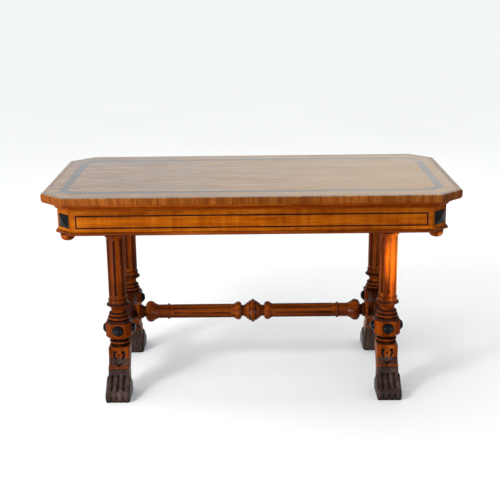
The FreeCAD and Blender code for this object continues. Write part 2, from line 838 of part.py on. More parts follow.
def column(leg, x, y, turn):
    """A turned column: tenon, torus, bead, neck, flange, fluted shaft, astragal, bell and abacus."""
    body = new_body(f"column_{leg}")
    profile = add_sketch(body, "XZ_Plane")
    bell = f"({SHAFT_TOP} + astragal_height)"
    abacus = f"({bell} + bell_height)"
    outline(
        profile,
        ("0", "-tenon_length"),
        ("tenon_radius", "-tenon_length"),
        ("tenon_radius", "0"),
        ("torus_radius - torus_height / 2", "0"),
        ("torus_radius", "torus_height / 2", ARC),
        ("torus_radius - torus_height / 2", "torus_height"),
        ("base_bead_radius - base_bead_height / 2", "torus_height"),
        ("base_bead_radius", "torus_height + base_bead_height / 2", ARC),
        ("base_bead_radius - base_bead_height / 2", BASE_TOP),
        ("base_neck_radius", BASE_TOP),
        ("base_neck_radius", NECK_TOP),
        (
            f"base_neck_radius + (flange_radius - base_neck_radius) * {ROUND_NEAR_SHARE}",
            f"{NECK_TOP} + flange_underside * {ROUND_FAR_SHARE}",
            ARC,
        ),
        ("flange_radius", FLANGE_SEAT),
        ("flange_radius", FLANGE_TOP),
        (
            f"shaft_fillet_radius + (flange_radius - shaft_fillet_radius) * {ROUND_NEAR_SHARE}",
            f"{FLANGE_TOP} + flange_slope * {ROUND_NEAR_SHARE}",
            ARC,
        ),
        ("shaft_fillet_radius", SHAFT_FILLET),
        ("shaft_fillet_radius", SHAFT_BASE),
        ("column_radius", SHAFT_BASE),
        ("column_radius", SHAFT_TOP),
        ("astragal_radius", f"{SHAFT_TOP} + astragal_height / 2", ARC),
        ("column_radius", bell),
        (
            f"column_radius + (bell_radius - column_radius) * {ROUND_NEAR_SHARE}",
            f"{bell} + bell_height * {ROUND_FAR_SHARE}",
            ARC,
        ),
        ("bell_radius", abacus),
        ("abacus_radius", abacus),
        ("abacus_radius", "column_height"),
        ("tenon_radius", "column_height"),
        ("tenon_radius", "column_height + tenon_length"),
        ("0", "column_height + tenon_length"),
    )
    turned(body, profile, "V_Axis")
    low = f"({SHAFT_BASE} + flute_low_margin)"
    high = f"({SHAFT_TOP} - flute_high_margin)"
    flute(body, "Z_Axis", "(column_radius + flute_lift)", low, high, "flute_radius")
    node(stand(body, x, y, COLUMN_SEAT, turn))


def block(leg, x, y, turn):
    """A chamfered block, socketed for the column, foot and cross rail and seated for three bosses."""
    body = new_body(f"block_{leg}")
    half = "(block_width / 2)"
    plan = add_sketch(body, "XY_Plane")
    octagon(plan, half, half, "block_chamfer")
    mass = pad(body, plan, "block_height")
    for direction, size in ((UP, "block_top_chamfer"), (-UP, "block_bottom_chamfer")):
        doc.recompute()
        chamfer = body.newObject("PartDesign::Chamfer", f"{body.Name}_chamfer")
        chamfer.Base = (mass, [flat_face(mass, direction)])
        chamfer.setExpression("Size", sized(size))
        mass = chamfer
    column_socket = add_sketch(body, "XY_Plane", "block_height")
    circle(column_socket, ("0", "0"), "tenon_radius + joint_clearance")
    pocket(body, column_socket, "tenon_length + joint_clearance")
    foot_socket = add_sketch(body, "XY_Plane")
    circle(foot_socket, ("0", "0"), "foot_tenon_radius + joint_clearance")
    pocket(body, foot_socket, "foot_tenon_bite + joint_clearance", towards_normal=True)
    boss_level = "(block_height / 2)"
    faces = [("XZ_Plane", half, False), ("YZ_Plane", half, False), ("YZ_Plane", f"-{half}", True)]
    for role, side, inward in faces:
        seat = add_sketch(body, role, side)
        circle(seat, ("0", boss_level), "boss_radius + joint_clearance")
        pocket(body, seat, "boss_seat", towards_normal=inward)
        hole = add_sketch(body, role, side)
        circle(hole, ("0", boss_level), "boss_peg_radius + joint_clearance")
        pocket(body, hole, "boss_seat + boss_peg_length + joint_clearance", towards_normal=inward)
    mortise = add_sketch(body, "XZ_Plane", f"-{half}")
    level = "cross_rail_rise"
    wide = "(cross_tenon_thickness / 2 + joint_clearance)"
    tall = "(cross_tenon_height / 2 + joint_clearance)"
    rectangle(mortise, (f"-{wide}", f"{level} - {tall}"), (wide, f"{level} + {tall}"))
    pocket(body, mortise, "cross_tenon_length + joint_clearance", towards_normal=True)
    node(stand(body, x, y, BLOCK_SEAT, turn))


def bosses(leg, x, y, turn):
    """Three domed ebony bosses on pegs, on the faces of a block that no rail meets."""
    made = []
    outward = "(block_width / 2 - boss_seat)"
    front = f"{y} - {outward}" if turn == 0 else f"{y} + {outward}"
    places = [
        ("face", x, front, turn),
        ("left", f"{x} - {outward}", y, -QUARTER_TURN),
        ("right", f"{x} + {outward}", y, QUARTER_TURN),
    ]
    for name, boss_x, boss_y, boss_turn in places:
        body = new_body(f"boss_{leg}_{name}")
        profile = add_sketch(body, "XY_Plane")
        outline(
            profile,
            ("0", "boss_peg_length"),
            ("0", "-boss_height - boss_seat"),
            (
                f"boss_radius * {ROUND_FAR_SHARE}",
                f"-boss_seat - boss_height * {ROUND_FAR_SHARE}",
                ARC,
            ),
            ("boss_radius", "-boss_seat"),
            ("boss_radius", "0"),
            ("boss_peg_radius", "0"),
            ("boss_peg_radius", "boss_peg_length"),
        )
        turned(body, profile, "V_Axis")
        level = f"{BLOCK_SEAT} + block_height / 2"
        made.append(stand(body, boss_x, boss_y, level, boss_turn))
    group(f"bosses_{leg}", made)


def collar(leg, x, y, turn):
    """A turned collar round the foot's tenon: a bead between two hollows."""
    body = new_body(f"collar_{leg}")
    profile = add_sketch(body, "XZ_Plane")
    bore = "(foot_tenon_radius + joint_clearance)"
    hollow = "((collar_height - collar_bead_height) / 2 - collar_fillet_height)"
    bead_low = f"(collar_fillet_height + {hollow})"
    bead_high = f"({bead_low} + collar_bead_height)"
    outline(
        profile,
        (bore, "0"),
        ("collar_radius", "0"),
        ("collar_radius", "collar_fillet_height"),
        ("collar_waist", f"collar_fillet_height + {hollow} * {HALF_SHARE}", ARC),
        ("collar_radius", bead_low),
        (f"collar_radius + collar_bead_height * {ROUND_NEAR_SHARE}", "collar_height / 2", ARC),
        ("collar_radius", bead_high),
        ("collar_waist", f"{bead_high} + {hollow} * {HALF_SHARE}", ARC),
        ("collar_radius", "collar_height - collar_fillet_height"),
        ("collar_radius", "collar_height"),
        (bore, "collar_height"),
    )
    turned(body, profile, "V_Axis")
    node(stand(body, x, y, COLLAR_SEAT, turn))


def foot(leg, x, y, turn):
    """A carved foot: a sunk panel that sweeps out over a fillet to a paw with grooved toes."""
    body = new_body(f"foot_{leg}")
    side = add_sketch(body, "YZ_Plane")
    panel_low = "(foot_height - foot_panel_height)"
    lip = "(foot_front + foot_sweep)"
    sweep_drop = f"({panel_low} - foot_fillet_level)"
    fillet_low = "(foot_fillet_level - foot_fillet_height)"
    heel_drop = f"({panel_low} - heel_level)"
    outline(
        side,
        ("foot_back", "foot_height"),
        ("-foot_front", "foot_height"),
        ("-foot_front", panel_low),
        (
            f"-(foot_front + foot_sweep * {ROUND_NEAR_SHARE})",
            f"{panel_low} - {sweep_drop} * {ROUND_FAR_SHARE}",
            ARC,
        ),
        (f"-{lip}", "foot_fillet_level"),
        (f"-({lip} + foot_fillet_lip)", "foot_fillet_level"),
        (f"-({lip} + foot_fillet_lip)", fillet_low),
        (f"-{lip}", fillet_low),
        ("-paw_start", "paw_start_level"),
        ("-paw_toe_start", "paw_toe_level"),
        ("-paw_toe_start", "0"),
        ("-heel_inset", "0"),
        ("-heel_inset", "heel_level"),
        (
            f"(foot_back + heel_inset) * {HEEL_CURVE_SHARE} - heel_inset",
            f"heel_level + {heel_drop} * {ROUND_FAR_SHARE}",
            ARC,
        ),
        ("foot_back", panel_low),
    )
    pad(body, side, "foot_width", both_ways=True)
    paw = add_sketch(body, "YZ_Plane")
    slope = "((paw_start_level - paw_toe_level) / (paw_toe_start - paw_start))"
    outline(
        paw,
        ("-paw_back", "0"),
        ("-paw_back", f"paw_start_level * {HALF_SHARE}"),
        ("-paw_start", "paw_start_level"),
        ("-paw_toe_start", "paw_toe_level"),
        (
            f"-(paw_toe_start + (paw_reach - paw_toe_start) * {ROUND_FAR_SHARE})",
            f"paw_toe_lift + (paw_toe_level - paw_toe_lift) * {ROUND_FAR_SHARE}",
            ARC,
        ),
        ("-paw_reach", "paw_toe_lift"),
        ("-(paw_reach - paw_toe_tuck)", "0"),
    )
    mass = pad(body, paw, "paw_width", both_ways=True)
    doc.recompute()
    rounding = body.newObject("PartDesign::Fillet", f"{body.Name}_rounding")
    sides = [flat_face(mass, FreeCAD.Vector(sign, 0, 0)) for sign in (1, -1)]
    rounding.Base = (mass, sides)
    rounding.setExpression("Radius", sized("paw_round"))
    toe_grooves(body, slope)
    panel_carving(body)
    tenon = add_sketch(body, "XY_Plane", "foot_height")
    circle(tenon, ("0", "0"), "foot_tenon_radius")
    pad(body, tenon, "collar_height + foot_tenon_bite")
    node(stand(body, x, y, "0", turn))


def toe_grooves(body, slope):
    """Grooves between the toes, cut down the slope of the paw, with a notch in the front below each."""
    first = "-toe_groove_spacing * (toe_groove_count - 1) / 2"
    sketch = add_sketch(body, "YZ_Plane", first)
    run = "(paw_toe_start - paw_start)"
    lean = f"sqrt(1 + {slope} ^ 2)"
    lift = "toe_groove_lift"

    def on_slope(along, out):
        across = f"-(paw_start + {along} + ({out}) * {slope} / {lean})"
        up = f"paw_start_level - ({along}) * {slope} + ({out}) / {lean}"
        return across, up

    sunk = "toe_groove_lift - toe_groove_radius"
    start, end = on_slope("0", lift), on_slope(run, lift)
    outline(sketch, start, on_slope("0", sunk), on_slope(run, sunk), end)
    axis_line(sketch, start, end)
    cut = turned(body, sketch, "Axis0", kind="Groove")
    front = add_sketch(body, "YZ_Plane", first)
    axis = "(paw_reach + toe_groove_radius - toe_notch_depth)"
    low, high = "-cut_overrun", "paw_toe_level"
    back = f"({axis} - toe_groove_radius)"
    outline(front, (f"-{axis}", low), (f"-{back}", low), (f"-{back}", high), (f"-{axis}", high))
    axis_line(front, (f"-{axis}", low), (f"-{axis}", high))
    notch = turned(body, front, "Axis0", kind="Groove")
    copies = body.newObject("PartDesign::LinearPattern", f"{body.Name}_toes")
    copies.Originals = [cut, notch]
    copies.Direction = (own(body, "X_Axis"), [""])
    copies.setExpression("Length", sized("toe_groove_spacing * (toe_groove_count - 1)"))
    copies.setExpression("Occurrences", sized("toe_groove_count"))
    body.Tip = copies


def panel_carving(body):
    """Sunk carving on the panel: two facing scrolls with drilled ends, a stud between them and a vee."""
    plane = "(foot_front + foot_sweep)"
    depth = "foot_sweep + carving_depth"
    eye_level = "(foot_height - carving_eye_drop)"
    stud_level = "(foot_height - carving_stud_drop)"
    scroll_level = "(foot_height - carving_scroll_drop)"
    middle = f"(({eye_level} + {scroll_level}) / 2)"
    lines = add_sketch(body, "XZ_Plane", plane)
    drilled = add_sketch(body, "XZ_Plane", plane)
    for sign in ("", "-"):
        outline(
            lines,
            (f"{sign}carving_eye_spacing / 2", eye_level),
            (f"{sign}carving_scroll_spread / 2", middle, ARC),
            (f"{sign}carving_scroll_foot / 2", scroll_level),
            (f"{sign}(carving_scroll_spread / 2 - carving_scroll_width)", middle, ARC),
        )
        circle(drilled, (f"{sign}carving_eye_spacing / 2", eye_level), "carving_eye_radius")
        circle(drilled, (f"{sign}carving_scroll_foot / 2", scroll_level), "carving_stud_radius")
    circle(drilled, ("0", stud_level), "carving_stud_radius")
    vee = "(foot_height - carving_vee_drop)"
    outline(
        lines,
        ("-carving_vee_spread / 2", vee),
        ("0", f"{vee} - carving_vee_fall"),
        ("carving_vee_spread / 2", vee),
        ("0", f"{vee} - carving_vee_fall - carving_vee_line"),
    )
    pocket(body, lines, depth)
    pocket(body, drilled, depth)


# the rails that tie the legs together


def cross_rail(side, x, turn):
    """A chamfered rail tenoned between the two blocks of one end, bored for the stretcher."""
    body = new_body(f"cross_rail_{side}")
    section = add_sketch(body, "XZ_Plane")
    octagon(section, "(cross_rail_thickness / 2)", "(cross_rail_height / 2)", "cross_rail_chamfer")
    pad(body, section, f"2 * {LEG_Y} - block_width", both_ways=True)
    tenons = add_sketch(body, "XZ_Plane")
    wide = "(cross_tenon_thickness / 2)"
    tall = "(cross_tenon_height / 2)"
    rectangle(tenons, (f"-{wide}", f"-{tall}"), (wide, tall))
    pad(body, tenons, f"2 * {LEG_Y} - block_width + 2 * cross_tenon_length", both_ways=True)
    bore = add_sketch(body, "YZ_Plane", "cross_rail_thickness / 2")
    circle(bore, ("0", "0"), "stretcher_tenon_radius + joint_clearance")
    pocket(body, bore, "stretcher_tenon_length + joint_clearance")
    node(stand(body, x, "0", RAIL_LEVEL, turn))


def stretcher():
    """The turned stretcher: a ridged knop at its middle, fluted shafts and a vase at each end."""
    body = new_body("stretcher")
    profile = add_sketch(body, "XZ_Plane")
    neck_end = "(knop_half_length + mid_neck_length)"
    ring_end = f"({neck_end} + mid_ring_length)"
    shaft_start = f"({ring_end} + mid_fillet_length)"
    face = f"({LEG_X} - cross_rail_thickness / 2)"
    disc = f"({face} - end_disc_length)"
    collar_start = f"({disc} - end_collar_length)"
    small_ring = f"({collar_start} - small_ring_length)"
    vase_end = f"({small_ring} - end_neck_length)"
    vase_start = f"({vase_end} - vase_length)"
    ring_start = f"({vase_start} - thin_ring_length)"
    bulb_start = f"({vase_end} - vase_bulb_length)"
    outline(
        profile,
        ("0", "0"),
        ("0", "knop_radius"),
        ("knop_ridge", "knop_radius"),
        ("knop_ridge", "knop_shoulder_radius"),
        (
            f"knop_ridge + (knop_half_length - knop_ridge) * {HALF_SHARE}",
            f"mid_neck_radius + (knop_shoulder_radius - mid_neck_radius) * {KNOP_CURVE_SHARE}",
            ARC,
        ),
        ("knop_half_length", "mid_neck_radius"),
        (neck_end, "mid_neck_radius"),
        (neck_end, "mid_ring_base_radius"),
        (f"{neck_end} + mid_ring_length / 2", "mid_ring_radius", ARC),
        (ring_end, "mid_ring_base_radius"),
        (shaft_start, "mid_ring_base_radius"),
        (shaft_start, "shaft_radius"),
        (ring_start, "shaft_radius"),
        (f"{ring_start} + thin_ring_length / 2", "thin_ring_radius", ARC),
        (vase_start, "vase_stem_radius"),
        (bulb_start, "vase_stem_radius"),
        (
            f"{bulb_start} + vase_bulb_length * {VASE_RISE_SHARE}",
            f"vase_stem_radius + (vase_radius - vase_stem_radius) * {HALF_SHARE}",
        ),
        (f"{bulb_start} + vase_bulb_length * {VASE_PEAK_SHARE}", "vase_radius", ARC),
        (vase_end, "vase_lip_radius"),
        (vase_end, "end_neck_radius"),
        (small_ring, "end_neck_radius"),
        (f"{small_ring} + small_ring_length / 2", "small_ring_radius", ARC),
        (collar_start, "end_neck_radius"),
        (collar_start, "end_collar_base_radius"),
        (f"{collar_start} + end_collar_length / 2", "end_collar_radius", ARC),
        (disc, "end_collar_base_radius"),
        (face, "end_collar_base_radius"),
        (face, "stretcher_tenon_radius"),
        (f"{face} + stretcher_tenon_length", "stretcher_tenon_radius"),
        (f"{face} + stretcher_tenon_length", "0"),
    )
    turned(body, profile, "H_Axis")
    low = f"({shaft_start} + shaft_flute_low_margin)"
    high = f"({ring_start} - shaft_flute_high_margin)"
    flute(body, "X_Axis", "(shaft_radius + shaft_flute_lift)", low, high, "shaft_flute_radius")
    doc.recompute()
    other_half = body.newObject("PartDesign::Mirrored", "stretcher_other_half")
    other_half.TransformMode = "Whole shape"
    other_half.MirrorPlane = (own(body, "YZ_Plane"), [""])
    body.Tip = other_half
    node(stand(body, z=RAIL_LEVEL))


def build():
    top_board()
    top_band()
    lipping()
    cove()
    bead()
    frieze()
    corners()
    bearer("left", f"-{LEG_X}")
    bearer("right", LEG_X)
    screws()
    glue_blocks()
    for leg in LEGS:
        column(*leg)
        block(*leg)
        bosses(*leg)
        collar(*leg)
        foot(*leg)
    cross_rail("left", f"-{LEG_X}", 0)
    cross_rail("right", LEG_X, HALF_TURN)
    stretcher()


def check():
    """Stops before anything is written if an object failed or a piece is not a sound solid."""
    doc.recompute()
    for made in doc.Objects:
        if {"Invalid", "Error"} & set(made.State):
            raise RuntimeError(f"{made.Label} failed: {made.State}")
    for piece in NODES:
        if piece.Shape.isNull() or not piece.Shape.isValid() or not piece.Shape.Solids:
            raise RuntimeError(f"{piece.Label} has no sound solid")


build()
check()
os.makedirs("parts", exist_ok=True)
for piece in NODES:
    piece.Shape.exportStep(f"parts/{piece.Label}.step")
print(len(NODES), "nodes")
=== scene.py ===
import math

import bpy
from mathutils import Matrix, Vector


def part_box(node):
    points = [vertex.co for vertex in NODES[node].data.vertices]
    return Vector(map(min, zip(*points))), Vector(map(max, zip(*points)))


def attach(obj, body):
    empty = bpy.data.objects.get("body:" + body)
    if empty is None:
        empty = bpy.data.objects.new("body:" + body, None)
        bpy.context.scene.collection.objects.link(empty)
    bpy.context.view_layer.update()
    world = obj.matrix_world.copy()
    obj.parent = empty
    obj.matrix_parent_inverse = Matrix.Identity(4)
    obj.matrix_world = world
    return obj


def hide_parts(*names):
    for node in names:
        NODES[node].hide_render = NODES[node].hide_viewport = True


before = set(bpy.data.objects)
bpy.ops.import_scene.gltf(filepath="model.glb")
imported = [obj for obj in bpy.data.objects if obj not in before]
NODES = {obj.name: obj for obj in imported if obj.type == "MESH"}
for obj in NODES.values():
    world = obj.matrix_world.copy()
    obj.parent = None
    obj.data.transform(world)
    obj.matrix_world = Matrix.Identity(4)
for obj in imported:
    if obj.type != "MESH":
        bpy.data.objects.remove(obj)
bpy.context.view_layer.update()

LEGS = ("front_left", "front_right", "back_left", "back_right")
SIDES = ("front", "back", "left", "right")
ENDS = ("left", "right")


# colours are written as seen on a screen and turned into linear light


def screen(red, green, blue):
    def linear(value):
        value /= 255
        return value / 12.92 if value <= 0.04045 else ((value + 0.055) / 1.055) ** 2.4

    return (linear(red), linear(green), linear(blue), 1.0)


def palette(dark, middle, light):
    return tuple(screen(*colour) for colour in (dark, middle, light))


def grey(value):
    return (value, value, value, 1.0)


CREVICE_SAMPLES = 8
ROUNDING_SAMPLES = 6
SHARP_TURN = (0.99, 0.75)
BUMP_STRENGTH = 0.35


class Shader:
    """A material with short ways to add and join nodes."""

    def __init__(self, name):
        self.material = bpy.data.materials.new(name)
        self.material.use_nodes = True
        self.tree = self.material.node_tree
        self.base = self.tree.nodes["Principled BSDF"]
        self.place = self.add("TexCoord").outputs["Object"]

    def add(self, kind, **settings):
        node = self.tree.nodes.new("ShaderNode" + kind)
        for key, value in settings.items():
            setattr(node, key, value)
        return node

    def join(self, source, target):
        self.tree.links.new(source, target)

    def feed(self, socket, value):
        """Joins an output to a socket, or sets the socket to a number or colour."""
        if hasattr(value, "is_output"):
            self.join(value, socket)
        else:
            socket.default_value = value

    # places and directions

    def stretch(self, scale):
        """The object's own coordinates, scaled along each axis."""
        node = self.add("Mapping")
        self.join(self.place, node.inputs["Vector"])
        node.inputs["Scale"].default_value = scale
        return node.outputs["Vector"]

    def axis(self, name):
        node = self.add("SeparateXYZ")
        self.join(self.place, node.inputs[0])
        return node.outputs[name]

    def facing(self, axis):
        """The part of a surface's direction along one axis, from -1 to 1."""
        normal, split = self.add("NewGeometry").outputs["Normal"], self.add("SeparateXYZ")
        self.join(normal, split.inputs[0])
        return split.outputs[axis]

    def shelter(self, distance):
        """1 on open surfaces and towards 0 in crevices."""
        node = self.add("AmbientOcclusion", samples=CREVICE_SAMPLES)
        node.inputs["Distance"].default_value = distance
        return node.outputs["AO"]

    def rounded(self, radius):
        """The shading normal with every sharp edge rounded off by a radius."""
        node = self.add("Bevel", samples=ROUNDING_SAMPLES)
        node.inputs["Radius"].default_value = radius
        return node.outputs["Normal"]

    def edges(self, rounded):
        """Towards 1 along sharp edges."""
        plain = self.add("NewGeometry")
        dot = self.add("VectorMath", operation="DOT_PRODUCT")
        self.join(rounded, dot.inputs[0])
        self.join(plain.outputs["Normal"], dot.inputs[1])
        return self.level(dot.outputs["Value"], *SHARP_TURN)

    # numbers

    def noise(self, vector, scale, detail=3.0, roughness=0.5, distortion=0.0):
        node = self.add("TexNoise")
        self.join(vector, node.inputs["Vector"])
        node.inputs["Scale"].default_value = scale
        node.inputs["Detail"].default_value = detail
        node.inputs["Roughness"].default_value = roughness
        node.inputs["Distortion"].default_value = distortion
        return node.outputs["Fac"]

    def math(self, kind, first, second=0.0):
        node = self.add("Math", operation=kind)
        self.feed(node.inputs[0], first)
        self.feed(node.inputs[1], second)
        return node.outputs["Value"]

    def product(self, first, second):
        return self.math("MULTIPLY", first, second)

    def blend(self, first, second, shares):
        """The sum of two values, each times its share."""
        return self.math("ADD", self.product(first, shares[0]), self.product(second, shares[1]))

    def off(self, value, place):
        """How far a value is from a place, on either side."""
        return self.math("ABSOLUTE", self.math("SUBTRACT", value, place))

    def without(self, value, mask, share):
        """A value lowered by a share of itself where a mask is set."""
        return self.product(value, self.math("SUBTRACT", 1.0, self.product(mask, share)))

    def level(self, value, low, high, to_low=0.0, to_high=1.0):
        """A smooth step between two values, which may also fall."""
        node = self.add("MapRange", interpolation_type="SMOOTHSTEP")
        self.feed(node.inputs["Value"], value)
        node.inputs["From Min"].default_value = low
        node.inputs["From Max"].default_value = high
        node.inputs["To Min"].default_value = to_low
        node.inputs["To Max"].default_value = to_high
        return node.outputs["Result"]

    def window(self, value, rise, fall):
        """1 between a rise and a fall, and 0 outside them."""
        return self.product(self.level(value, *rise), self.level(value, *fall))

    # colours

    def ramp(self, value, stops):
        stops = list(stops)
        node = self.add("ValToRGB")
        elements = node.color_ramp.elements
        while len(elements) < len(stops):
            elements.new(0.5)
        for element, (position, colour) in zip(elements, stops):
            element.position = position
            element.color = colour
        self.feed(node.inputs["Fac"], value)
        return node.outputs["Color"]

    def mix(self, factor, first, second, blend="MIX"):
        node = self.add("Mix", data_type="RGBA", blend_type=blend)
        self.feed(node.inputs[0], factor)
        self.feed(node.inputs[6], first)
        self.feed(node.inputs[7], second)
        return node.outputs[2]

    def tint(self, colour, mask, share, other, blend="MIX"):
        """A colour moved by a share towards another where a mask is set."""
        return self.mix(self.product(mask, share), colour, other, blend)

    def finish(self, colour, roughness, normal=None, bump=None, relief=0.0002, shine=0.12, coat=(0.0, 0.1)):
        base = self.base.inputs
        self.feed(base["Base Color"], colour)
        self.feed(base["Roughness"], roughness)
        base["Specular IOR Level"].default_value = shine
        base["Coat Weight"].default_value, base["Coat Roughness"].default_value = coat
        if bump is not None:
            node = self.add("Bump")
            node.inputs["Distance"].default_value = relief
            node.inputs["Strength"].default_value = BUMP_STRENGTH
            self.join(bump, node.inputs["Height"])
            if normal is not None:
                self.join(normal, node.inputs["Normal"])
                self.join(normal, base["Coat Normal"])
            self.join(node.outputs["Normal"], base["Normal"])
        return self.material


# the woods: scales are per metre, ranges are values of a noise or of a surface's direction

GRAIN = {"x": (0.06, 1.0, 1.0), "y": (1.0, 0.06, 1.0), "z": (1.0, 1.0, 0.06)}
FIGURE, STREAK, PORE, MOTTLE = 26.0, 150.0, 420.0, 9.0
RIPPLE_STRETCH, RIPPLE = (1.0, 1.0, 0.12), 70.0
STEPS = (0.33, 0.5, 0.68)
PORE_RANGE = (0.42, 0.3)
SHADE_LOW, SHADE_HIGH, SHADE_SHARE = 0.3, 0.7, 0.8
WEAR_RANGE = (0.4, 0.62)
GLOSS_RANGE = (0.35, 0.65)
CROWN_SLOPE = (0.6, 0.9)
DUST_SLOPE = (0.08, 0.55)
# the polish is duller where shade is painted into the crevices
CREVICE_DULLS = 0.25
# painted reflection: the spans along X over which the top and the black band grow lighter towards the right
TOP_SHEEN_SPAN, BAND_SHEEN_SPAN = (-0.5, 0.5), (-0.3, 0.5)
# a band around the height of the base rings is darkened towards the deep brown
RINGS_LEVEL, RINGS_REACH = 0.262, (0.026, 0.056)
# painted shade: dark rings on each side of the stretcher knop's ridge stand in for grooves
KNOP_GROOVE_SHADE = (0.008, 0.0026)
TOP_COAT = (0.75, 0.16)

# a deep brown for the shade painted into crevices and grooves, and for the darker band at the base rings
DEEP_BROWN = screen(20, 9, 4)
DUST = screen(44, 26, 24)
AMBER = palette((132, 60, 4), (170, 88, 9), (196, 114, 24))
TOP = palette((66, 39, 12), (124, 80, 31), (184, 141, 72))
RED = palette((74, 26, 2), (140, 60, 5), (186, 96, 16))
RAIL = palette((56, 19, 2), (124, 54, 9), (170, 87, 20))
# painted shade: a darker copy of the rail colours, for the cross rails that stand in shadow
SHADED = palette((34, 11, 2), (76, 30, 6), (116, 54, 14))
EDGE = palette((100, 50, 13), (134, 71, 20), (168, 102, 42))
BEAD = palette((70, 27, 5), (126, 56, 10), (168, 90, 26))
COVE = palette((104, 40, 2), (158, 72, 6), (190, 102, 18))
PLAIN = palette((132, 92, 54), (170, 128, 82), (192, 154, 106))


def wood_layers(shader, along, figure=FIGURE, streak=STREAK):
    """Broad figure, fine streaks and short pores drawn out along the grain, and an even mottle."""
    grain = shader.stretch(GRAIN[along])
    broad = shader.noise(grain, figure, 4.0, 0.55, 1.1)
    fine = shader.noise(grain, streak, 3.0, 0.6, 0.3)
    pores = shader.noise(grain, PORE, 2.0, 0.7)
    mottle = shader.noise(shader.place, MOTTLE)
    return broad, fine, pores, mottle


def wood(name, along, colours, roughness=(0.22, 0.36), shine=0.12, coat=(0.14, 0.1), crevice_shade=0.85, wear=0.3,
         pore_depth=0.5, figure=FIGURE, streak=STREAK, crevice=0.014, hold=(0.9, 0.3), relief=0.0002,
         ripple=0.0, spread=(0.72, 1.1), edge=0.0014, painted_sheen=0.0, dust=0.0, ring_darkening=0.0, shares=(0.62, 0.38),
         steps=STEPS, crown=None, groove_shade=None):
    """Varnished wood: grain along one axis, dark pores, painted shade in the crevices and paler worn edges.

    A crown is the palette of faces that look up, and the dark ring at a place along X is painted shade
    standing in for a groove.
    """
    shader = Shader(name)
    dark, _, light = colours
    broad, fine, pores, mottle = wood_layers(shader, along, figure, streak)
    tone = shader.blend(broad, fine, shares)
    if ripple:
        across = shader.noise(shader.stretch(RIPPLE_STRETCH), RIPPLE, 2.0, 0.5, 0.4)
        tone = shader.math("ADD", tone, shader.product(shader.math("SUBTRACT", across, 0.5), ripple))
    colour = shader.ramp(tone, zip(steps, colours))
    if crown:
        upward = shader.facing("Z")
        colour = shader.mix(shader.level(upward, *CROWN_SLOPE), colour, shader.ramp(tone, zip(steps, crown)))
        polish = shader.level(upward, *CROWN_SLOPE, coat[0], TOP_COAT[0])
        shader.join(polish, shader.base.inputs["Coat Weight"])
    pore_mask = shader.level(pores, *PORE_RANGE)
    colour = shader.tint(colour, pore_mask, pore_depth, dark, "MULTIPLY")
    shade = shader.ramp(mottle, [(SHADE_LOW, grey(spread[0])), (SHADE_HIGH, grey(spread[1]))])
    colour = shader.mix(SHADE_SHARE, colour, shade, "MULTIPLY")
    # painted reflection: the colour grows lighter towards the right along X
    if painted_sheen:
        colour = shader.tint(colour, shader.level(shader.axis("X"), *TOP_SHEEN_SPAN), painted_sheen, light)
    rounded = shader.rounded(edge)
    rubbed = shader.product(shader.edges(rounded), shader.level(mottle, *WEAR_RANGE, 0.25, 1.0))
    colour = shader.tint(colour, rubbed, wear, light)
    if dust:
        colour = shader.tint(colour, shader.level(shader.facing("Z"), *DUST_SLOPE), dust, DUST)
    # darker in a band around the height of the base rings
    if ring_darkening:
        inner, outer = RINGS_REACH
        ring_band = shader.level(shader.off(shader.axis("Z"), RINGS_LEVEL), outer, inner)
        colour = shader.tint(colour, ring_band, ring_darkening, DEEP_BROWN)
    # painted shade: the colour darkens towards the deep brown in crevices, found by ambient occlusion
    painted_shade = shader.level(shader.shelter(crevice), *hold)
    # painted shade: a dark ring at the given place along X stands in for the shadow in a groove
    if groove_shade:
        place, reach = groove_shade
        ring = shader.off(shader.math("ABSOLUTE", shader.axis("X")), place)
        painted_shade = shader.math("MAXIMUM", painted_shade, shader.level(ring, reach, 0.0))
    colour = shader.tint(colour, painted_shade, crevice_shade, DEEP_BROWN)
    gloss = shader.level(mottle, *GLOSS_RANGE, *roughness)
    gloss = shader.math("ADD", gloss, shader.product(painted_shade, CREVICE_DULLS))
    height = shader.math("SUBTRACT", fine, pore_mask)
    return shader.finish(colour, gloss, rounded, height, relief, shine, coat)


# each look gives how strongly shade is painted into its crevices
AMBER_LOOK = dict(wear=0.2, spread=(0.84, 1.06), relief=0.0001, crevice_shade=0.4, crevice=0.008, shine=0.018,
                  roughness=(0.34, 0.48), coat=(0.0, 0.1))
BEAD_LOOK = dict(edge=0.0008, shine=0.04, coat=(0.02, 0.1))
COVE_LOOK = dict(edge=0.0008, shine=0.03, coat=(0.02, 0.1))
TURNED_LOOK = dict(crevice_shade=0.94, crevice=0.016, hold=(0.97, 0.52), coat=(0.0, 0.1))
PLAIN_LOOK = dict(roughness=(0.6, 0.8), coat=(0.0, 0.1))

amber_x = wood("amber_wood_along", "x", AMBER, **AMBER_LOOK, ripple=0.3)
amber_y = wood("amber_wood_across", "y", AMBER, **AMBER_LOOK, ripple=0.3)
amber_z = wood("amber_wood_upright", "z", AMBER, **AMBER_LOOK)
top_wood = wood("top_wood", "x", TOP, roughness=(0.3, 0.4), shine=0.1, coat=TOP_COAT, crevice_shade=0.3, wear=0.0,
                figure=44.0, streak=330.0, pore_depth=0.8, relief=0.00003, spread=(0.75, 1.1), painted_sheen=0.6,
                shares=(0.4, 0.6), steps=(0.36, 0.5, 0.65))
edge_z = wood("edge_wood", "z", EDGE, figure=60.0, streak=260.0, coat=(0.05, 0.2), shine=0.025,
              relief=0.0001, wear=0.4, edge=0.001, crown=TOP)
bead_x = wood("bead_wood_along", "x", BEAD, **BEAD_LOOK)
bead_y = wood("bead_wood_across", "y", BEAD, **BEAD_LOOK)
cove_x = wood("cove_wood_along", "x", COVE, **COVE_LOOK)
cove_y = wood("cove_wood_across", "y", COVE, **COVE_LOOK)
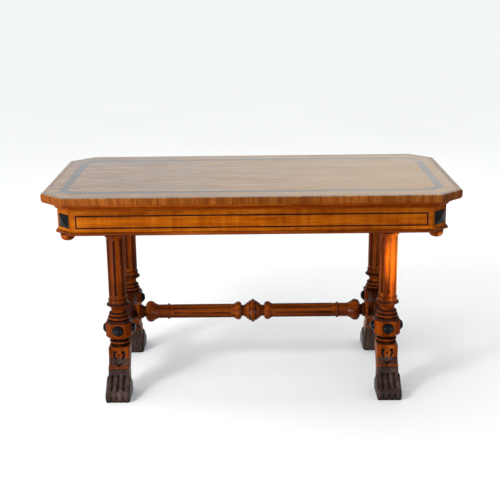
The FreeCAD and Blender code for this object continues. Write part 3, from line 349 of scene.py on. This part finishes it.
rail_x = wood("rail_wood_along", "x", RAIL, **TURNED_LOOK, shine=0.06, roughness=(0.2, 0.3), groove_shade=KNOP_GROOVE_SHADE)
# painted shade: the cross rails take the darker copy of the rail colours
shaded_rail_y = wood("shaded_rail_wood_across", "y", SHADED, **TURNED_LOOK, shine=0.02, roughness=(0.45, 0.55))
red_z = wood("turned_wood_upright", "z", RED, **TURNED_LOOK, shine=0.028, roughness=(0.3, 0.42), dust=0.88,
             ring_darkening=0.36)
plain_x = wood("plain_wood_along", "x", PLAIN, **PLAIN_LOOK)
plain_y = wood("plain_wood_across", "y", PLAIN, **PLAIN_LOOK)


EBONY_STOPS = [(0.3, screen(8, 8, 9)), (0.55, screen(18, 17, 18)), (0.75, screen(38, 32, 29))]
EBONY_FIGURE, EBONY_STREAK = 40.0, 220.0
EBONY_EDGE, EBONY_WEAR, EBONY_WORN = 0.0009, 0.35, screen(88, 62, 44)
EBONY_SHINE_TINT = (0.55, 0.75, 1.0, 1.0)
# the pale grey of the painted reflection on the black band
BAND_SHEEN = screen(124, 116, 104)


def ebony(name, along, roughness=(0.16, 0.28), shine=0.05, coat=(0.05, 0.08), relief=0.0001, painted_sheen=0.0):
    """Black stained wood, rubbed brown along its edges, with a painted reflection that greys it towards the
    right.
    """
    shader = Shader(name)
    broad, fine, pores, mottle = wood_layers(shader, along, EBONY_FIGURE, EBONY_STREAK)
    colour = shader.ramp(shader.blend(broad, fine, (0.5, 0.5)), EBONY_STOPS)
    # painted reflection: the band greys towards the right along X
    if painted_sheen:
        colour = shader.tint(colour, shader.level(shader.axis("X"), *BAND_SHEEN_SPAN), painted_sheen, BAND_SHEEN)
    rounded = shader.rounded(EBONY_EDGE)
    rubbed = shader.product(shader.edges(rounded), shader.level(mottle, *WEAR_RANGE, 0.2, 0.8))
    colour = shader.tint(colour, rubbed, EBONY_WEAR, EBONY_WORN)
    gloss = shader.level(mottle, *GLOSS_RANGE, *roughness)
    height = shader.math("SUBTRACT", fine, pores)
    shader.base.inputs["Specular Tint"].default_value = EBONY_SHINE_TINT
    return shader.finish(colour, gloss, rounded, height, relief, shine, coat)


STRINGING_LOOK = dict(roughness=(0.35, 0.5), shine=0.02, coat=(0.0, 0.1))
ebony_x = ebony("ebony_along", "x", **STRINGING_LOOK)
ebony_y = ebony("ebony_across", "y", **STRINGING_LOOK)
ebony_z = ebony("ebony_upright", "z")
ebony_boss = ebony("ebony_boss", "z", roughness=(0.13, 0.18), shine=0.09, coat=(0.0, 0.04), relief=0.00001)
ebony_top = ebony("ebony_band", "x", roughness=(0.3, 0.4), shine=0.08, coat=(0.9, 0.17), relief=0.00003,
                  painted_sheen=0.65)


# the foot's wood: heights above the floor, and places from the table's middle, in metres

LEG_PLACE = 0.349
PAW = palette((28, 19, 18), (62, 47, 43), (95, 78, 72))
PAW_LINE, PAW_RAGGED = (0.0975, 0.0925), 0.016
FILLET_RISE, FILLET_FALL, FILLET_RED = (0.0722, 0.0735), (0.0785, 0.0768), 0.85
VEE_FOOT, VEE_SLOPE, VEE_EDGE = 0.0805, 0.435, (-0.0004, 0.0008)
CORNER_RISE, CORNER_RED = (0.0765, 0.0785), 0.2
FLANK_TURN, FLANK_RISE, FLANK_RED = (0.6, 0.85), (0.056, 0.068), 0.8
FOOT_PORES, FOOT_PORE_DEPTH = screen(30, 18, 12), 0.5
FOOT_EDGE, FOOT_WEAR, FOOT_WORN = 0.004, 0.35, screen(140, 84, 44)
TOE_FALL_LINE, TOE_SPOTS, TOE_SPOT_RANGE = (0.034, 0.016), 60.0, (0.42, 0.62)
TOE_WEAR, TOE_WORN = 0.3, screen(62, 58, 54)
# painted shade in the foot's grooves and crevices: reach, range, share and colour
FOOT_CREVICE, FOOT_HOLD, FOOT_SHADE_SHARE, FOOT_SHADE = 0.008, (0.96, 0.55), 0.92, screen(14, 8, 6)
# painted shade on the sunk ground of the panel's carving: depth, side, height, share and colour
SUNK_DEEP, SUNK_OPEN, SUNK_SIDE = (0.1430, 0.1445), (0.1495, 0.1483), (0.0235, 0.0215)
SUNK_RISE, SUNK_FALL = (0.0885, 0.0905), (0.1215, 0.1195)
SUNK_SHADE_SHARE, SUNK_SHADE_COLOUR = 0.95, screen(14, 12, 15)


def foot_black(shader, level, aside, mottle):
    """1 on the black paw and 0 on the red panel, fillet and flanks."""
    ragged = shader.math("ADD", level, shader.product(shader.math("SUBTRACT", mottle, 0.5), PAW_RAGGED))
    fillet = shader.window(level, FILLET_RISE, FILLET_FALL)
    black = shader.math("SUBTRACT", shader.level(ragged, *PAW_LINE), shader.product(fillet, FILLET_RED))
    vee = shader.math("ADD", shader.product(aside, VEE_SLOPE), VEE_FOOT)
    corner = shader.level(shader.math("SUBTRACT", vee, level), *VEE_EDGE)
    corner = shader.product(corner, shader.level(level, *CORNER_RISE))
    black = shader.without(black, corner, CORNER_RED)
    flank = shader.level(shader.math("ABSOLUTE", shader.facing("X")), *FLANK_TURN)
    flank = shader.product(flank, shader.level(level, *FLANK_RISE))
    return shader.without(black, flank, FLANK_RED)


def foot_wood():
    """Red-brown at the panel, darkening to a nearly black paw that is worn grey at the toes."""
    shader = Shader("foot_wood")
    broad, fine, pores, mottle = wood_layers(shader, "z")
    tone = shader.blend(broad, fine, (0.6, 0.4))
    level = shader.axis("Z")
    aside = shader.off(shader.math("ABSOLUTE", shader.axis("X")), LEG_PLACE)
    black = foot_black(shader, level, aside, mottle)
    colour = shader.mix(black, shader.ramp(tone, zip(STEPS, RAIL)), shader.ramp(tone, zip(STEPS, PAW)))
    pore_mask = shader.level(pores, *PORE_RANGE)
    colour = shader.tint(colour, pore_mask, FOOT_PORE_DEPTH, FOOT_PORES, "MULTIPLY")
    rounded = shader.rounded(FOOT_EDGE)
    rubbed = shader.product(shader.edges(rounded), shader.level(mottle, 0.4, 0.6, 0.3, 1.0))
    colour = shader.tint(colour, rubbed, FOOT_WEAR, FOOT_WORN)
    spots = shader.level(shader.noise(shader.place, TOE_SPOTS, 4.0, 0.6), *TOE_SPOT_RANGE)
    toe = shader.product(shader.level(level, *TOE_FALL_LINE), spots)
    colour = shader.tint(colour, toe, TOE_WEAR, TOE_WORN)
    # painted shade: the foot darkens in its grooves and crevices, found by ambient occlusion
    painted_shade = shader.level(shader.shelter(FOOT_CREVICE), *FOOT_HOLD)
    colour = shader.tint(colour, painted_shade, FOOT_SHADE_SHARE, FOOT_SHADE)
    # painted shade: the sunk ground of the carving is painted nearly black
    sunk_shade = shader.window(shader.math("ABSOLUTE", shader.axis("Y")), SUNK_DEEP, SUNK_OPEN)
    sunk_shade = shader.product(sunk_shade, shader.level(aside, *SUNK_SIDE))
    sunk_shade = shader.product(sunk_shade, shader.window(level, SUNK_RISE, SUNK_FALL))
    colour = shader.tint(colour, sunk_shade, SUNK_SHADE_SHARE, SUNK_SHADE_COLOUR)
    gloss = shader.level(mottle, *GLOSS_RANGE, 0.3, 0.48)
    height = shader.math("SUBTRACT", fine, pore_mask)
    return shader.finish(colour, gloss, rounded, height, relief=0.0004, shine=0.05, coat=(0.0, 0.16))


def steel():
    """Dull steel with finer and darker spots."""
    shader = Shader("screw_steel")
    spots = shader.noise(shader.place, 300.0, 3.0, 0.6)
    colour = shader.ramp(spots, [(0.35, screen(84, 78, 72)), (0.6, screen(128, 124, 118))])
    shader.base.inputs["Metallic"].default_value = 1.0
    return shader.finish(colour, shader.level(spots, 0.3, 0.7, 0.3, 0.55), bump=spots)


foot_finish = foot_wood()
screw_finish = steel()


def paint(node, material):
    if not NODES[node].material_slots:
        NODES[node].data.materials.append(material)
    for slot in NODES[node].material_slots:
        slot.material = material


paint("top_board", top_wood)
paint("top_band", ebony_top)
for part in ("longs", "ends", "corners"):
    paint(f"lipping_{part}", edge_z)
    paint(f"cove_{part}", cove_y if part == "ends" else cove_x)
    paint(f"bead_{part}", bead_y if part == "ends" else bead_x)
for side in SIDES:
    across = side in ENDS
    paint(f"apron_{side}", amber_y if across else amber_x)
    paint(f"stringing_{side}", ebony_y if across else ebony_x)
for leg in LEGS:
    paint(f"corner_piece_{leg}", amber_z)
    paint(f"corner_panel_{leg}", ebony_z)
    paint(f"bosses_{leg}", ebony_boss)
    for part in ("pendant", "column", "block", "collar"):
        paint(f"{part}_{leg}", red_z)
for end in ENDS:
    paint(f"bearer_{end}", plain_y)
    paint(f"cross_rail_{end}", shaded_rail_y)
paint("glue_blocks", plain_x)
paint("top_screws", screw_finish)
paint("stretcher", rail_x)


# the feet are softened as a carver leaves them, inside the shape that was cut

WELD = 0.00001
CARVING_STEP = 0.001
SOFTENING, ARRIS_ROUNDS, PAW_ROUNDS = 0.5, 1, 14
PAW_TOP, PAW_FADE = 0.066, 0.15
TOE_PITCH, TOE_FALL, TOE_CURVE = 0.0152, 0.0022, 3
PANEL_PLANE = 0.1485
EYE_PLACE = (0.0109, 0.111)
EYE_RADIUS, EYE_DEPTH, EYE_WALL = 0.0052, 0.0036, 2.5


def settle(piece):
    """The piece's mesh as its modifiers leave it, with the modifiers gone."""
    seen = piece.evaluated_get(bpy.context.evaluated_depsgraph_get())
    piece.data = bpy.data.meshes.new_from_object(seen)
    piece.modifiers.clear()


def soften(piece, name, rounds):
    smooth = piece.modifiers.new(name, "SMOOTH")
    smooth.factor = SOFTENING
    smooth.iterations = rounds
    return smooth


def round_toes(mesh, middle, outward):
    """Each toe falls away towards the grooves at its sides."""
    normals = [vertex.normal.copy() for vertex in mesh.vertices]
    for vertex, normal in zip(mesh.vertices, normals):
        open_side = max(normal.y * outward, normal.z, 0.0)
        low = min(max((PAW_TOP - vertex.co.z) / (PAW_TOP * PAW_FADE), 0.0), 1.0)
        across = (vertex.co.x - middle) / TOE_PITCH
        off_crest = abs((across - math.floor(across)) * 2.0 - 1.0)
        vertex.co -= normal * (TOE_FALL * low * open_side * off_crest ** TOE_CURVE)


def drill_eyes(mesh, middle, outward):
    """Two round sinkings at the upper ends of the scrolls."""
    aside, level = EYE_PLACE
    for vertex in mesh.vertices:
        if vertex.co.y * outward < PANEL_PLANE:
            continue
        reach = math.hypot(abs(vertex.co.x - middle) - aside, vertex.co.z - level) / EYE_RADIUS
        if reach < 1.0:
            vertex.co.y -= outward * EYE_DEPTH * min((1.0 - reach) * EYE_WALL, 1.0)


def carve_foot(leg):
    node = f"foot_{leg}"
    low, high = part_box(node)
    piece = bpy.data.objects.new(f"carved_foot_{leg}", NODES[node].data.copy())
    bpy.context.collection.objects.link(piece)
    piece.modifiers.new("weld", "WELD").merge_threshold = WELD
    remesh = piece.modifiers.new("even", "REMESH")
    remesh.mode = "VOXEL"
    remesh.voxel_size = CARVING_STEP
    soften(piece, "arrises", ARRIS_ROUNDS)
    settle(piece)
    paw = piece.vertex_groups.new(name="paw")
    paw.add([vertex.index for vertex in piece.data.vertices if vertex.co.z < PAW_TOP], 1.0, "REPLACE")
    soften(piece, "paw", PAW_ROUNDS).vertex_group = paw.name
    settle(piece)
    middle = (low[0] + high[0]) / 2
    outward = 1.0 if low[1] + high[1] > 0 else -1.0
    round_toes(piece.data, middle, outward)
    drill_eyes(piece.data, middle, outward)
    piece.data.shade_smooth()
    piece.data.materials.clear()
    piece.data.materials.append(foot_finish)
    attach(piece, "root")
    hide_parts(node)


for leg in LEGS:
    carve_foot(leg)


# the floor and the light: both are pale to the camera and in reflections, at a strength of 1

FLOOR_HALF, FLOOR_MOTTLE, FLOOR_ROUGHNESS, FLOOR_SHINE = 80.0, 1.5, 0.65, 0.1
FLOOR_STOPS = [(0.3, screen(248, 247, 245)), (0.7, screen(251, 250, 249))]
FLOOR_BOUNCE = screen(172, 150, 128)
FLOOR_TINT, FLOOR_LIFT = (0.5, 0.76, 1.0, 1.0), 0.12
SEEN_COLOUR, SEEN_STRENGTH = screen(240, 243, 245), 1.0
SOFT_COLOUR = (1.0, 0.99, 0.97, 1)
LEFT_LIGHT, RIGHT_LIGHT = 1.38, 0.38


def floor():
    """A floor that looks white and returns light to the table as a brown one would."""
    shader = Shader("pale_floor")
    pale = shader.ramp(shader.noise(shader.place, FLOOR_MOTTLE), FLOOR_STOPS)
    path = shader.add("LightPath").outputs
    seen = shader.math("MAXIMUM", path["Is Camera Ray"], path["Is Glossy Ray"])
    seen = shader.math("MAXIMUM", seen, path["Is Transmission Ray"])
    material = shader.finish(shader.mix(seen, FLOOR_BOUNCE, pale), FLOOR_ROUGHNESS, shine=FLOOR_SHINE)
    shader.base.inputs["Emission Color"].default_value = FLOOR_TINT
    shader.join(shader.product(seen, FLOOR_LIFT), shader.base.inputs["Emission Strength"])
    mesh = bpy.data.meshes.new("floor")
    corners = [(x * FLOOR_HALF, y * FLOOR_HALF, 0) for x, y in ((-1, -1), (1, -1), (1, 1), (-1, 1))]
    mesh.from_pydata(corners, [], [(0, 1, 2, 3)])
    plane = bpy.data.objects.new("floor", mesh)
    plane.data.materials.append(material)
    bpy.context.collection.objects.link(plane)


def surround():
    """A pale surround as seen, and a soft light that falls off from left to right."""
    world = bpy.data.worlds.new("surround")
    bpy.context.scene.world = world
    world.use_nodes = True
    nodes, links = world.node_tree.nodes, world.node_tree.links
    seen, soft = nodes["Background"], nodes.new("ShaderNodeBackground")
    seen.inputs["Color"].default_value = SEEN_COLOUR
    seen.inputs["Strength"].default_value = SEEN_STRENGTH
    soft.inputs["Color"].default_value = SOFT_COLOUR
    direction, split = nodes.new("ShaderNodeTexCoord"), nodes.new("ShaderNodeSeparateXYZ")
    slope = nodes.new("ShaderNodeMapRange")
    slope.inputs["From Min"].default_value = -1.0
    slope.inputs["From Max"].default_value = 1.0
    slope.inputs["To Min"].default_value = LEFT_LIGHT
    slope.inputs["To Max"].default_value = RIGHT_LIGHT
    links.new(direction.outputs["Generated"], split.inputs[0])
    links.new(split.outputs["X"], slope.inputs["Value"])
    links.new(slope.outputs["Result"], soft.inputs["Strength"])
    path, mix = nodes.new("ShaderNodeLightPath"), nodes.new("ShaderNodeMixShader")
    first, second = nodes.new("ShaderNodeMath"), nodes.new("ShaderNodeMath")
    for node in (first, second):
        node.operation = "MAXIMUM"
    links.new(path.outputs["Is Camera Ray"], first.inputs[0])
    links.new(path.outputs["Is Glossy Ray"], first.inputs[1])
    links.new(first.outputs[0], second.inputs[0])
    links.new(path.outputs["Is Transmission Ray"], second.inputs[1])
    links.new(second.outputs[0], mix.inputs[0])
    links.new(soft.outputs[0], mix.inputs[1])
    links.new(seen.outputs[0], mix.inputs[2])
    links.new(mix.outputs[0], nodes["World Output"].inputs["Surface"])


def lamp(name, place, target, size, power, spread=180.0, mirrored=False):
    """A soft lamp that either lights the surfaces or is only mirrored in the polish."""
    light = bpy.data.lights.new(name, "AREA")
    light.shape = "RECTANGLE"
    light.size, light.size_y = size
    light.energy = power
    light.spread = math.radians(spread)
    holder = bpy.data.objects.new(name, light)
    holder.visible_camera = False
    holder.visible_diffuse = not mirrored
    holder.visible_glossy = mirrored
    holder.location = place
    holder.rotation_euler = (Vector(target) - Vector(place)).to_track_quat("-Z", "Y").to_euler()
    bpy.context.collection.objects.link(holder)


floor()
surround()
lamp("key", place=(-1.65, -1.6, 1.85), target=(0, 0, 0.35), size=(0.5, 0.5), power=28)
lamp("fill", place=(1.9, -2.6, 1.3), target=(0, 0, 0.3), size=(0.8, 0.8), power=1.5)
lamp("low", place=(-1.45, -1.4, 0.42), target=(-0.2, 0, 0.44), size=(0.8, 0.5), power=13)
lamp("beam", place=(1.3, -1.5, 0.4), target=(0.365, -0.14, 0.345), size=(0.05, 0.1), power=0.4, spread=6.0)
lamp("back", place=(0.6, 2.4, 2.2), target=(0, 0, 0.4), size=(1.6, 1.0), power=8)
lamp("window_left", place=(-1.35, -1.5, 0.09), target=(0, -0.15, 0.2), size=(0.7, 0.16), power=32,
     mirrored=True)
lamp("window_right", place=(1.35, -1.35, 0.12), target=(0.36, -0.14, 0.33), size=(0.2, 0.2), power=12,
     mirrored=True)


# the camera stands where the photograph was taken from: pixels, degrees and metres

CAMERA = dict(focal=1002.7, pitch=15.9242, roll=0.6638, yaw=-0.2740, x=0.0065, y=-2.5864, z=1.0810)
PICTURE = 500
SENSOR = 36.0
FARTHEST = 100


def camera():
    pitch, roll, yaw = (math.radians(CAMERA[key]) for key in ("pitch", "roll", "yaw"))
    forward = Vector((math.sin(yaw) * math.cos(pitch), math.cos(yaw) * math.cos(pitch), -math.sin(pitch)))
    level = Vector((math.cos(yaw), -math.sin(yaw), 0))
    down = forward.cross(level)
    right = level * math.cos(roll) + down * math.sin(roll)
    drop = down * math.cos(roll) - level * math.sin(roll)
    lens = bpy.data.cameras.new("camera")
    lens.sensor_width = SENSOR
    lens.sensor_fit = "HORIZONTAL"
    lens.lens = CAMERA["focal"] * SENSOR / PICTURE
    lens.clip_end = FARTHEST
    holder = bpy.data.objects.new("camera", lens)
    columns = Matrix((right, -drop, -forward)).transposed().to_4x4()
    columns.translation = (CAMERA["x"], CAMERA["y"], CAMERA["z"])
    holder.matrix_world = columns
    bpy.context.collection.objects.link(holder)
    bpy.context.scene.camera = holder


camera()
bpy.context.scene.view_settings.view_transform = "Standard"
